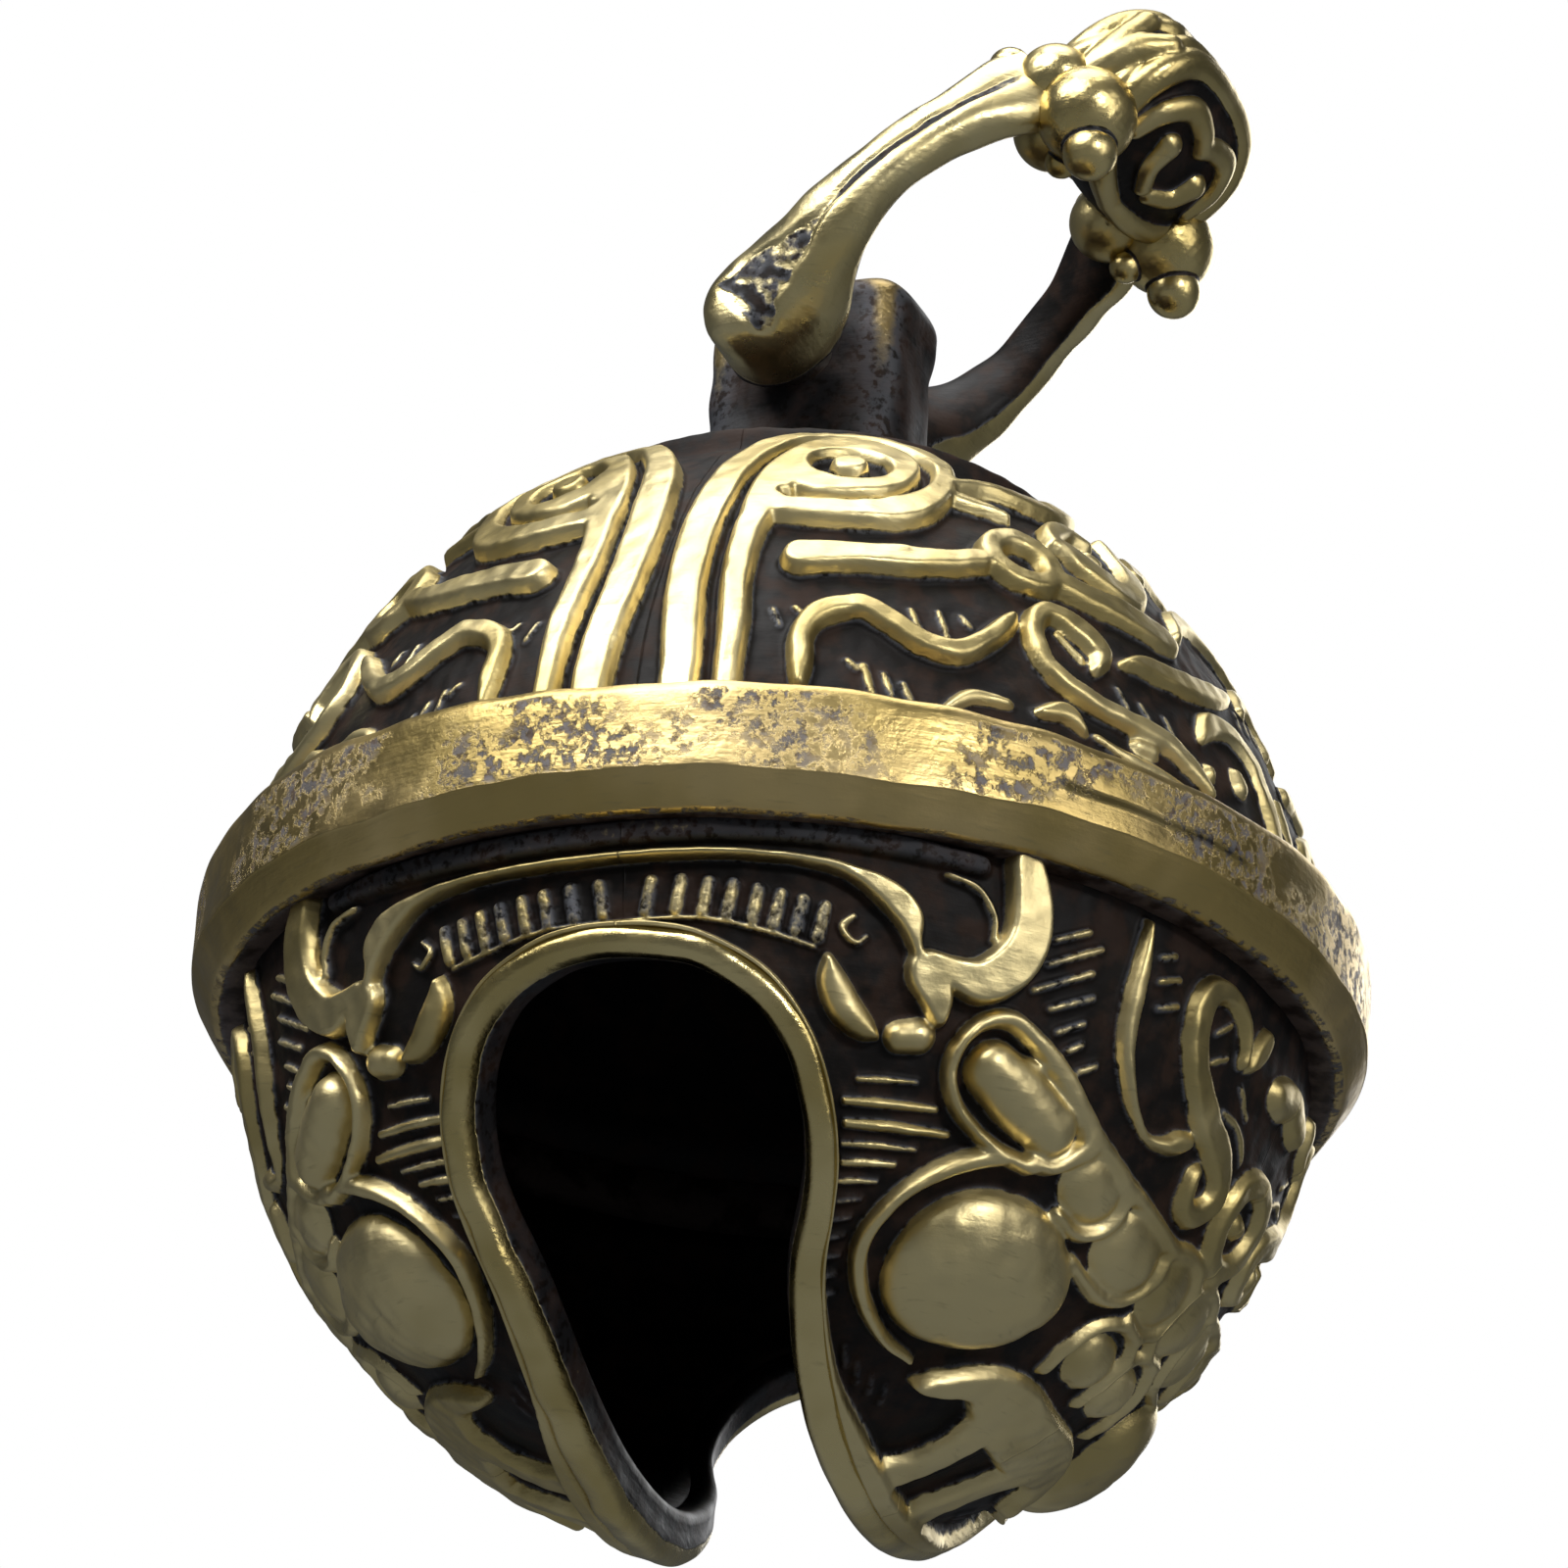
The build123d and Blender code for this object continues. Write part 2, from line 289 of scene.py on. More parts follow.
def dome_relief(r):
    # Two bars that run up beside the middle line, and the plate of the eye
    r.ridge([(4.6, 6, 0.5), (4.5, 11, 0.51), (4.0, 16, 0.5), (3.5, 22, 0.51), (3.7, 30, 0.57),
        (4.2, 35.4, 0.56), (5.1, 41, 0.52), (6.2, 45, 0.45), (8.0, 48.2, 0.42), (10.4, 51, 0.4),
        (13, 53.6, 0.36), (17, 55.6, 0.32), (21, 56.4, 0.32), (26, 56.2, 0.32), (31, 54.6, 0.34),
        (34.5, 51.4, 0.34), (35.2, 48, 0.32), (34, 44, 0.36), (31.6, 40.6, 0.48), (28.6, 37.2, 0.56),
        (25, 35.3, 0.52), (20, 34.5, 0.46), (12.6, 34.4, 0.44)])
    r.ridge([(9.3, 6, 0.33), (9.3, 11, 0.34), (9.3, 16, 0.38), (8.8, 22, 0.38), (8.9, 28, 0.4),
        (9.6, 33, 0.44), (10.6, 38, 0.56), (12, 43, 0.62), (15, 46, 0.6)])
    r.ridge([(19, 44.6, 1.72), (23.2, 45.8, 1.86)])
    r.groove([(6.8, 6, 0.1), (6.9, 11, 0.1), (6.6, 16, 0.09), (6.1, 22, 0.09), (6.2, 30, 0.09),
        (7.0, 36, 0.1), (8.0, 41, 0.12), (9.6, 45.4, 0.13), (12, 49, 0.12), (15, 52.2, 0.13),
        (20, 54.1, 0.13), (26, 53.7, 0.13), (30.6, 51.2, 0.15), (32.2, 47.6, 0.15), (31.2, 43.8, 0.14),
        (28.6, 40.4, 0.13), (24.4, 38.0, 0.12), (18, 36.9, 0.13), (12.6, 37, 0.13)])
    r.ring(20.8, 44.9, 0.68, 0.24, floor=0.05)
    r.ridge([(33.5, 42.4, 0.3), (38, 41.9, 0.26), (42.6, 41, 0.14)], 0.5)
    r.ridge([(35.5, 44.8, 0.2), (40.5, 46.6, 0.26), (46.5, 47.2, 0.34), (54, 48.8, 0.46), (61, 52.5, 0.42),
        (67, 56.5, 0.24)])
    # The key: a long bar with an eye in it
    r.ridge([(15.6, 25.9, 0.52), (20.8, 26.7, 0.46), (27, 27.4, 0.44), (32, 28.2, 0.38), (36, 29.8, 0.38)])
    r.ring(42, 32, 0.8, 0.36)
    r.ridge([(46.5, 30.2, 0.38), (50, 30, 0.45), (55.2, 29.9, 0.52), (60.6, 29.7, 0.56), (62.6, 29.7, 0.5)])
    # Wave and spiral above the belt
    r.ridge([(16.4, 8.4, 0.2), (16.4, 11.4, 0.3), (16.3, 14.9, 0.3), (17.9, 17.8, 0.34), (21.9, 19.3, 0.33),
        (25.2, 17.9, 0.32), (28.5, 15.8, 0.33), (32.2, 15.2, 0.33), (35.6, 17.6, 0.3), (37.9, 20.3, 0.28),
        (38.9, 21.7, 0.2)], 0.55)
    r.ridge([(48.6, 18, 0.12), (49.7, 20.8, 0.34), (47.2, 23.4, 0.42), (43.6, 24.3, 0.34), (41.6, 22, 0.3),
        (41.6, 18.4, 0.28), (43.2, 15.4, 0.28), (46.9, 13.5, 0.3), (51.8, 12.8, 0.3), (56.8, 12.7, 0.32),
        (60.7, 11.3, 0.3), (63.4, 9.2, 0.2)], 0.55)
    r.ridge([(44.6, 22.1, 0.07), (47.3, 19.3, 0.12)], 0.3)
    r.ridge([(53.2, 21, 0.16), (56.2, 22.1, 0.35), (60.7, 22.7, 0.4), (65.7, 24.1, 0.42), (70.1, 25.8, 0.4),
        (74, 27.6, 0.25)])
    r.ridge([(63.4, 16, 0.1), (64.6, 17.8, 0.26), (66.4, 19.6, 0.38), (70.1, 20.4, 0.36), (74, 18.8, 0.38),
        (76, 15, 0.35), (76.9, 9.4, 0.3)], 0.55)
    r.ridge([(69.4, 14.6, 0.22), (69.7, 13.2, 0.3)], 0.5, domed=True)
    r.ridge([(64.2, 12.6, 0.2), (64.3, 12.1, 0.2)], 0.4, domed=True)
    r.ridge([(80.4, 16.4, 0.22), (80.9, 9, 0.24)], 0.4, shine=0.6)
    # Spiral at the side
    r.ridge([(48, 37.6, 0.18), (49.3, 40.6, 0.36), (52.8, 43, 0.32), (56.4, 42.2, 0.2)])
    r.ridge([(49.2, 38.2, 0.32), (53.2, 35.8, 0.5), (58.6, 34.7, 0.5), (62, 37.6, 0.42), (63.4, 41.6, 0.4),
        (62, 46, 0.2)])
    r.ridge([(55.5, 40.2, 0.24), (56.6, 39.6, 0.24)], 0.5, domed=True)
    r.ridge([(68, 33.5, 0.2), (71, 37.4, 0.36), (77, 39.6, 0.44), (84, 39.2, 0.44), (90, 37.4, 0.44)])
    r.ridge([(69, 44, 0.3), (74, 48.4, 0.46), (82, 49.8, 0.5), (90, 49, 0.5)])
    r.ridge([(79, 28.2, 0.18), (83, 32, 0.34), (87, 33, 0.3), (90, 30.6, 0.26), (88, 27, 0.2)], 0.5)
    r.ridge([(86, 20.4, 0.3), (90, 21.4, 0.36)], 0.5)
    r.ridge([(88, 8, 0.3), (87, 13, 0.4), (90, 16, 0.3)], 0.5)
    # Low bumps over the belt, and worn tool marks
    r.ridge([(30.6, 7.4, 0.1), (33.9, 10.2, 0.22), (37.8, 10.3, 0.16)], 0.3)
    r.ridge([(41.4, 10.2, 0.18), (44.2, 11.1, 0.3), (46.4, 9.6, 0.14)], 0.36)
    r.ridge([(53.4, 10.7, 0.24), (55.2, 10.7, 0.24)], 0.34, domed=True)
    r.ridge([(48, 9.6, 0.14), (52, 8.6, 0.2), (58, 8.4, 0.2), (63, 7.6, 0.14)], 0.26, shine=0.5)
    for azimuth, high, low in ((21.1, 12.6, 11.6), (22.8, 12.2, 8.8), (24.9, 11.4, 8.6), (26.8, 10.4, 8.4),
            (13.0, 18.8, 16.6), (15.4, 19.2, 18.2), (27.8, 20.8, 17.9), (30.8, 21.2, 17.4),
            (33.3, 21.2, 19.8), (51.7, 17.4, 15.2), (54.8, 16.6, 14.2), (58.2, 16.6, 14.4)):
        r.ridge([(azimuth, high, 0.11), (azimuth + 0.9, low, 0.11)], 0.17, shine=0.42)
    for k in range(6):
        r.ridge([(76 + 2.8 * k, 24.5 + 0.4 * k, 0.1), (77 + 2.8 * k, 27.4 + 0.4 * k, 0.1)], 0.17, shine=0.4)


def bowl_relief(r):
    # Brow over the mouth
    r.ridge([(-2, -7.4, 0.3), (20, -7.4, 0.3), (34, -7.8, 0.26)], 0.3, shine=0.16)
    r.ridge([(-2, -10, 0.14), (10, -10.1, 0.14), (17, -10.4, 0.15), (21.1, -11.1, 0.2), (24.6, -12.5, 0.34),
        (27, -14.4, 0.36), (27.8, -16.3, 0.22), (28.6, -18, 0.2), (29.6, -19.6, 0.46), (31.2, -21.6, 0.4),
        (31.9, -23.6, 0.22)], 0.52)
    r.ridge([(38.6, -7, 0.48), (39.6, -10.4, 0.56), (39.8, -13.9, 0.58), (38.6, -17, 0.6),
        (35.8, -19.2, 0.55), (32.6, -19, 0.4), (30, -18.8, 0.4)], 0.52)
    r.ridge([(30.6, -9.5, 0.08), (34, -10.3, 0.1), (36, -12.6, 0.1), (36.4, -15, 0.1)], 0.3, shine=0.5)
    r.ridge([(19.4, -19.6, 0.14), (20.1, -21.7, 0.36), (21.7, -24, 0.42), (23.8, -25.6, 0.32),
        (25.5, -26.4, 0.1)], 0.45, domed=True)
    r.ridge([(28.2, -26.1, 0.38), (30.2, -25.7, 0.42)], 0.42, domed=True)
    for azimuth, high in ((0.4, -12.5), (3.5, -12.5), (6.3, -12.8), (8.8, -13), (11.4, -13.4),
            (13.7, -13.8), (16, -14.2), (18.3, -14.6)):
        r.ridge([(azimuth + 0.3, high, 0.17), (azimuth - 0.2, high - 3, 0.19)], 0.24, shine=0.34)
    r.ridge([(21.6, -15.1, 0.08), (20.5, -16.4, 0.09), (22, -17.7, 0.08), (23.2, -16.9, 0.06)],
        0.2, shine=0.45)
    r.ridge([(-2, -16.3, 0.06), (6.1, -16.4, 0.07), (12.2, -17.4, 0.08), (17.8, -18.6, 0.07)],
        0.16, shine=0.4)
    # Cheek beside the mouth
    for start, end, latitude, half, gleam in ((24.4, 31.4, -30.6, 0.08, 0.6),
            (23.3, 34.4, -32.9, 0.11, 0.85), (23.9, 36.7, -35.1, 0.13, 0.9), (23.9, 33.3, -37.2, 0.08, 0.6),
            (24.4, 31.1, -39.1, 0.1, 0.7), (24.2, 29.4, -41.1, 0.08, 0.55), (24.6, 28, -43.2, 0.07, 0.35),
            (24.4, 27.2, -45.3, 0.07, 0.3), (24.2, 27, -47.3, 0.07, 0.3), (24.4, 27, -49.4, 0.07, 0.3),
            (24.8, 27.4, -51.4, 0.07, 0.3), (25.4, 28, -53.4, 0.07, 0.3)):
        r.ridge([(start, latitude - 0.2, half * 0.8), (0.6 * start + 0.4 * end, latitude + 0.1, half),
            (end, latitude + 0.4, half * 0.6)], 0.2, shine=gleam)
    for azimuth, latitude in ((33, -59), (37, -60.6), (41.5, -61.6), (46, -62.4)):
        r.ridge([(azimuth, latitude, 0.1), (azimuth + 2, latitude - 2.4, 0.12)], 0.1, shine=0.16)
    # Chain of scales along the side
    r.ridge([(47.5, -34.8, 0.2), (50.6, -34.7, 0.22), (53.2, -32.8, 0.26), (54.6, -30.6, 0.34),
        (51.4, -28.2, 0.28), (47.6, -25.8, 0.3), (43.9, -23.7, 0.26), (40, -22.2, 0.24), (36.8, -23.2, 0.2),
        (34.8, -25.8, 0.19), (34.6, -29, 0.19), (36.6, -31.8, 0.19), (39.6, -33.6, 0.18),
        (42.6, -34.7, 0.18), (45, -35.2, 0.2), (48, -35.4, 0.22)], 0.5)
    r.ridge([(54, -30, 0.3), (58.9, -31.4, 0.22), (63.3, -33, 0.28), (68.3, -33.6, 0.2), (73.9, -34.6, 0.2),
        (78.3, -35.2, 0.24), (82.4, -34.4, 0.22), (86.6, -34.6, 0.2), (90, -36.4, 0.26)], 0.5)
    r.ridge([(39.6, -27.4, 0.7), (44, -29.4, 0.78), (48.6, -31.1, 0.72)], 0.7, domed=True)
    r.ridge([(43, -25.4, 0.06), (46, -26.2, 0.07), (48.6, -27, 0.04)], 0.42, shine=0.9)
    for azimuth, latitude, across, half in ((58.4, -34.7, 0.9, 0.82), (70.6, -38.4, 1.6, 0.98),
            (84.2, -38.6, 0.8, 0.98)):
        r.ridge([(azimuth - across, latitude, half), (azimuth + across, latitude - 0.2, half)],
            0.5, domed=True)
    r.ridge([(54.8, -38.6, 0.14), (59.4, -39.6, 0.18), (63, -38.3, 0.2), (64.4, -35.4, 0.2),
        (63, -33, 0.2)], 0.46)
    r.ridge([(61, -42, 0.12), (66.1, -43.3, 0.17), (71.7, -43.7, 0.18), (76.1, -42.5, 0.18),
        (78.4, -39.8, 0.18), (78.4, -36.6, 0.2)], 0.46)
    r.ridge([(80.6, -43.4, 0.14), (86, -43.9, 0.16), (90, -42, 0.22), (90, -36.6, 0.22)], 0.46)
    r.ridge([(81.4, -49.2, 0.74), (84, -49.2, 0.74)], 0.5, domed=True)
    r.ridge([(73.4, -53, 0.15), (73.7, -49.5, 0.2), (76, -46.2, 0.2), (80.5, -44.4, 0.2), (85, -44.2, 0.2),
        (89, -45.8, 0.2), (90, -49, 0.2), (90, -53, 0.14)], 0.46)
    # Eye ball and its lid
    r.ridge([(46.6, -47.2, 1.98), (51, -47, 1.9), (56.6, -46.6, 1.3)], 0.98, domed=True)
    r.ridge([(46.1, -58.2, 0.1), (39.4, -56.8, 0.15), (34, -54.2, 0.19), (30.6, -50.9, 0.21),
        (29.3, -47.2, 0.22), (30.6, -43.9, 0.2), (33.4, -40.6, 0.2), (37.3, -37.9, 0.24),
        (41.2, -36.1, 0.26), (44, -35.4, 0.2)], 0.5)
    # Muzzle: a hook over the cheek, the lip that runs on from the rim, and a dark oval beside them
    r.ridge([(49.6, -60.4, 0.1), (52.5, -59.9, 0.28), (56.5, -59, 0.38), (61, -58, 0.46), (66, -57.6, 0.6),
        (71, -58, 0.8), (77, -58.6, 0.95), (84, -59, 0.94), (90, -59.1, 0.92)], 0.6)
    r.ridge([(36, -72.4, 0.55), (50, -73.8, 0.6), (62, -74, 0.65), (69.5, -72.2, 0.6), (74.3, -69.4, 0.52),
        (75.6, -65.5, 0.5), (75, -61, 0.62)], 0.6)
    # Side scrolls
    r.ridge([(54.2, -7.9, 0.12), (54.1, -11.7, 0.23), (54, -16.1, 0.27), (54.8, -20.6, 0.25),
        (56.8, -23.9, 0.2), (59.6, -26.4, 0.14), (62.8, -27.8, 0.1), (65.6, -27.4, 0.2), (67.5, -26.6, 0.3),
        (69.3, -25.8, 0.22)], 0.46)
    r.ridge([(73.9, -15.4, 0.16), (73.6, -13.6, 0.2), (71.8, -11.4, 0.22), (68.6, -10.2, 0.28),
        (65.2, -10.8, 0.36), (63.7, -13.4, 0.41), (64.3, -16.7, 0.42), (66.8, -20, 0.46),
        (71.1, -22.8, 0.5), (75.6, -24.4, 0.5), (79.2, -26.4, 0.44), (79.9, -29, 0.42), (77.8, -31.2, 0.38),
        (74.6, -31, 0.32), (73.2, -28.4, 0.24), (73.7, -27.2, 0.14)], 0.5)
    r.ridge([(78, -11.2, 0.3), (76.6, -13.6, 0.34), (75.2, -15.4, 0.12)], 0.46)
    r.ridge([(84.5, -14.8, 0.42), (87.2, -14.2, 0.56), (90, -13.2, 0.5)], 0.5, domed=True)
    r.ridge([(74.2, -20.7, 0.09), (78.3, -20.8, 0.12), (81.7, -22.2, 0.12), (83.2, -23.6, 0.06)],
        0.24, shine=0.55)
    r.ridge([(76, -17.2, 0.1), (80, -19.4, 0.1)], 0.2, shine=0.5)
    r.ring(90, -28.2, 1.12, 0.38, height=0.52)
    r.ridge([(89.4, -28.2, 0.3), (90.6, -28.2, 0.3)], 0.4, domed=True)
    for start, high, end, low in ((43.3, -13.2, 47.2, -11.2), (43, -15.8, 49, -12.5),
            (42, -18.7, 48.5, -15.2), (44.5, -20, 49.3, -17.5), (46, -22, 49, -20.3),
            (47.8, -23.5, 49.5, -22.3), (50, -25, 52, -23.8), (57, -10.5, 59, -9.6), (57.2, -13, 60, -11.8),
            (58, -15.6, 60.6, -14.4), (68, -14.4, 70.4, -12.6), (68.6, -17.4, 71.4, -15.8)):
        r.ridge([(start, high, 0.1), (end, low, 0.11)], 0.2, shine=0.42)


def softened(field, passes=2):
    """Evens a field over columns that close on themselves, and over rows."""
    for _ in range(passes):
        field = (np.roll(field, 1, 0) + 2 * field + np.roll(field, -1, 0)) / 4
        padded = np.pad(field, ((0, 0), (1, 1)), mode="edge")
        field = (padded[:, :-2] + 2 * field + padded[:, 2:]) / 4
    return field


def shell_pieces(names, unit, floor_radius, draw, turn, front_share, side_loss, edge, inner_rows, node):
    """Closed shell pieces from columns that go all the way round and rows from edge to edge.

    The strokes keep front_share of their height, and lose side_loss of it at the
    sides. Where edge is 1 the skin rises to meet the rim.
    """
    columns, rows = unit.shape[:2]
    flat = unit.reshape(-1, 3)
    azimuth, latitude = azimuth_latitude(flat)
    relief = Relief(azimuth, latitude, turn)
    draw(relief)
    share = front_share * (1 - side_loss * ramp(relief.azimuth, 40, 72))
    height = softened((relief.height * share).reshape(columns, rows), 2)
    shine = softened(relief.shine.reshape(columns, rows), 1)
    place = flat * RELIEF_R
    grain = 0.010 * fine_waves(place) + 0.016 * broad_waves(place)
    grain += 0.006 * relief.shine * hammer_waves(place)
    height = height + grain.reshape(columns, rows)
    height = height + edge * np.clip(EDGE_RISE - height, 0, 1)
    shine = np.maximum(shine, edge * 0.9)
    outer = unit * (floor_radius + height)[:, :, None]
    pick = np.linspace(rows - 1, 0, inner_rows).round().astype(int)
    points = np.concatenate([outer, unit[:, pick] * CAVITY_R], axis=1)
    shine = np.concatenate([shine, np.full((columns, inner_rows), -1.0)], axis=1)
    section = rows + inner_rows
    for k, name in enumerate(names):
        first, last = k * columns // len(names), (k + 1) * columns // len(names)
        part = np.arange(first, last + 1) % columns
        faces = loft_faces(len(part), section, close_columns=True)
        faces.append(cap(0, section, flip=True))
        faces.append(cap(len(part) - 1, section))
        make_mesh(name, points[part].reshape(-1, 3) + CENTRE, faces, "bell", carved,
                  shine[part].ravel(), node)


# --- Materials ---
def noise(tree, place, size_mm, detail=3.0, rough=0.55):
    node = tree.nodes.new("ShaderNodeTexNoise")
    node.inputs["Scale"].default_value = 1 / (size_mm * MM)
    node.inputs["Detail"].default_value = detail
    node.inputs["Roughness"].default_value = rough
    tree.links.new(place, node.inputs["Vector"])
    return node.outputs["Fac"]


def spread(tree, value, low, high, to_low=0.0, to_high=1.0):
    node = tree.nodes.new("ShaderNodeMapRange")
    node.interpolation_type = "SMOOTHSTEP"
    node.inputs["From Min"].default_value = low
    node.inputs["From Max"].default_value = high
    node.inputs["To Min"].default_value = to_low
    node.inputs["To Max"].default_value = to_high
    tree.links.new(value, node.inputs["Value"])
    return node.outputs["Result"]


def calc(kind, tree, a, b):
    """A maths node on two sockets or numbers."""
    node = tree.nodes.new("ShaderNodeMath")
    node.operation = kind
    for socket, value in zip(node.inputs, (a, b)):
        if isinstance(value, (int, float)):
            socket.default_value = value
        else:
            tree.links.new(value, socket)
    return node.outputs[0]


total, less, product = (partial(calc, kind) for kind in ("ADD", "SUBTRACT", "MULTIPLY"))


def mix(tree, amount, a, b):
    node = tree.nodes.new("ShaderNodeMix")
    node.data_type = "RGBA"
    tree.links.new(amount, node.inputs["Factor"])
    for socket, value in ((node.inputs["A"], a), (node.inputs["B"], b)):
        if isinstance(value, tuple):
            socket.default_value = (*value, 1)
        else:
            tree.links.new(value, socket)
    return node.outputs["Result"]


def new_material(name):
    material = bpy.data.materials.new(name)
    material.use_nodes = True
    tree = material.node_tree
    place = tree.nodes.new("ShaderNodeTexCoord").outputs["Object"]
    return material, tree, tree.nodes["Principled BSDF"], place


def bump(tree, shader, height, distance_mm):
    node = tree.nodes.new("ShaderNodeBump")
    node.inputs["Distance"].default_value = distance_mm * MM
    node.inputs["Strength"].default_value = 1.0
    tree.links.new(height, node.inputs["Height"])
    tree.links.new(node.outputs["Normal"], shader.inputs["Normal"])


BLACKENED = (0.007, 0.0055, 0.005)
BROWNED = (0.028, 0.015, 0.010)
PORE_TARNISH = (0.12, 0.085, 0.072)
SCRATCHED = (0.36, 0.30, 0.15)
DUST = (0.21, 0.22, 0.25)


def antique_brass(name, bright, deep, gloss, low=0.24, high=0.44, pores=0.0, ash=0.5):
    """Polished brass where the relief attribute is high, blackened metal where it is low."""
    material, tree, shader, place = new_material(name)
    relief = tree.nodes.new("ShaderNodeAttribute")
    relief.attribute_name = "relief"
    relief = relief.outputs["Fac"]
    broad = noise(tree, place, 5.0)
    middle = noise(tree, place, 0.9, 4)
    fine = noise(tree, place, 0.22, 3)
    scratch = tree.nodes.new("ShaderNodeMapping")
    scratch.inputs["Scale"].default_value = (1, 1, 7)
    scratch.inputs["Rotation"].default_value = (0.5, 0.35, 0.2)
    tree.links.new(place, scratch.inputs["Vector"])
    scratches = noise(tree, scratch.outputs["Vector"], 0.8, 5)

    wobble = product(tree, less(tree, middle, 0.5), 0.5)
    wobble = total(tree, wobble, product(tree, less(tree, fine, 0.5), 0.35))
    level = total(tree, relief, wobble)
    metal = spread(tree, level, low, high)
    tarnish = BLACKENED
    if pores:
        pit = spread(tree, noise(tree, place, 0.34, 6, 0.7), 0.46, 0.58)
        patch = spread(tree, noise(tree, place, 3.4, 3), 0.38, 0.54)
        share = spread(tree, relief, 0.88, 0.97, pores, 0.0)
        pit = product(tree, product(tree, pit, patch), share)
        metal = product(tree, metal, less(tree, 1.0, pit))
        tarnish = PORE_TARNISH
    brass = mix(tree, spread(tree, broad, 0.38, 0.62), deep, bright)
    brass = mix(tree, spread(tree, scratches, 0.58, 0.75, 0, 0.35), brass, SCRATCHED)
    black = mix(tree, spread(tree, middle, 0.42, 0.64), tarnish, BROWNED)
    dust = product(tree, spread(tree, relief, 0.04, 0.34), spread(tree, fine, 0.36, 0.52))
    black = mix(tree, product(tree, dust, ash), black, DUST)
    tree.links.new(mix(tree, metal, black, brass), shader.inputs["Base Color"])
    tree.links.new(spread(tree, metal, 0, 1, 0.15, 1.0), shader.inputs["Metallic"])
    shader.inputs["Specular IOR Level"].default_value = 0.22
    shine = spread(tree, middle, 0.3, 0.7, gloss, gloss + 0.12)
    rough = total(tree, shine, product(tree, less(tree, 1.0, metal), 0.2))
    tree.links.new(rough, shader.inputs["Roughness"])
    rise = total(tree, product(tree, fine, 0.35), product(tree, middle, 0.5))
    rise = total(tree, rise, product(tree, metal, 0.6))
    bump(tree, shader, total(tree, rise, product(tree, scratches, 0.3)), 0.03)
    return material


def dark_metal(name, color, rust, metallic, gloss, size_mm):
    """Iron or steel with mottled colour, pits and worn gloss."""
    material, tree, shader, place = new_material(name)
    middle = noise(tree, place, size_mm, 5)
    fine = noise(tree, place, size_mm * 0.2, 3)
    tint = mix(tree, spread(tree, middle, 0.45, 0.66), color, rust)
    tint = mix(tree, spread(tree, fine, 0.55, 0.7, 0, 0.5), tint, tuple(0.4 * c for c in color))
    tree.links.new(tint, shader.inputs["Base Color"])
    shader.inputs["Metallic"].default_value = metallic
    tree.links.new(spread(tree, middle, 0.3, 0.7, gloss, gloss + 0.2), shader.inputs["Roughness"])
    bump(tree, shader, total(tree, middle, product(tree, fine, 0.5)), 0.04)
    return material


BRIGHT = (0.80, 0.67, 0.35)
DEEP = (0.54, 0.43, 0.18)
carved = antique_brass("carved_brass", BRIGHT, DEEP, gloss=0.35)
band_look = antique_brass("band_brass", (0.74, 0.56, 0.25), (0.52, 0.385, 0.14), gloss=0.28, pores=0.95)
rim_look = antique_brass("rim_brass", (0.80, 0.66, 0.32), (0.56, 0.44, 0.17), gloss=0.2)
bail_look = antique_brass("bail_brass", (0.82, 0.70, 0.38), (0.62, 0.50, 0.22), gloss=0.26)
crown_look = antique_brass("crown_brass", BRIGHT, DEEP, gloss=0.28)
boss_look = antique_brass("boss_brass", (0.78, 0.64, 0.30), (0.54, 0.42, 0.16), gloss=0.24)
lug_look = antique_brass("dark_brass", (0.56, 0.43, 0.18), (0.30, 0.22, 0.09), gloss=0.28,
                         low=0.45, high=0.95, ash=0.25)
pin_look = dark_metal("pin_steel", (0.42, 0.39, 0.35), (0.16, 0.10, 0.07), 1.0, 0.3, 0.6)
iron_look = dark_metal("pellet_iron", (0.055, 0.050, 0.048), (0.09, 0.045, 0.025), 0.6, 0.45, 1.1)

# --- Shells ---
sideways_waves = Waves(15)
upward_waves = Waves(12)
fine_waves = Waves(0.7, 30)
broad_waves = Waves(3.2)
hammer_waves = Waves(1.7)

EDGE_RISE = 0.62  # height of the bowl's skin beside the rim
DOME_COLUMNS, CARVED_ROWS, COLLAR_ROWS = 1280, 244, 40
azimuths = np.linspace(-90, 270, DOME_COLUMNS, endpoint=False)
latitudes = np.concatenate([np.linspace(4, 62, CARVED_ROWS), np.linspace(62.5, 89.2, COLLAR_ROWS)])
unit = on_sphere(*np.meshgrid(azimuths, latitudes, indexing="ij"))
latitude = azimuth_latitude(unit)[1]
# The dome is a little taller than a ball, and the lug stands on a plain collar
crest = DOME_FLOOR_R + 0.42 * ramp(latitude, 25, 60) + 0.54 * ramp(latitude, 59.4, 61.6)
shell_pieces(("dome_front_left", "dome_front_right", "dome_back_right", "dome_back_left"), unit, crest,
             dome_relief, turn=0, front_share=0.8, side_loss=0.45, edge=np.zeros_like(latitude),
             inner_rows=14, node="upper_dome")

# Half of the mouth's edge: how far out and how far below the centre it runs
MOUTH_EDGE = ((0, 4.42), (0.9, 4.46), (1.8, 4.66), (2.95, 5.28), (3.68, 6.3), (3.95, 7.4), (3.92, 8.4),
              (3.68, 9.2), (3.34, 9.95), (3.1, 10.6), (2.94, 11.25), (2.84, 11.8), (2.76, 12.3),
              (2.7, 12.75))
SLOT_HALF = 2.66
EDGE_R = 13.25


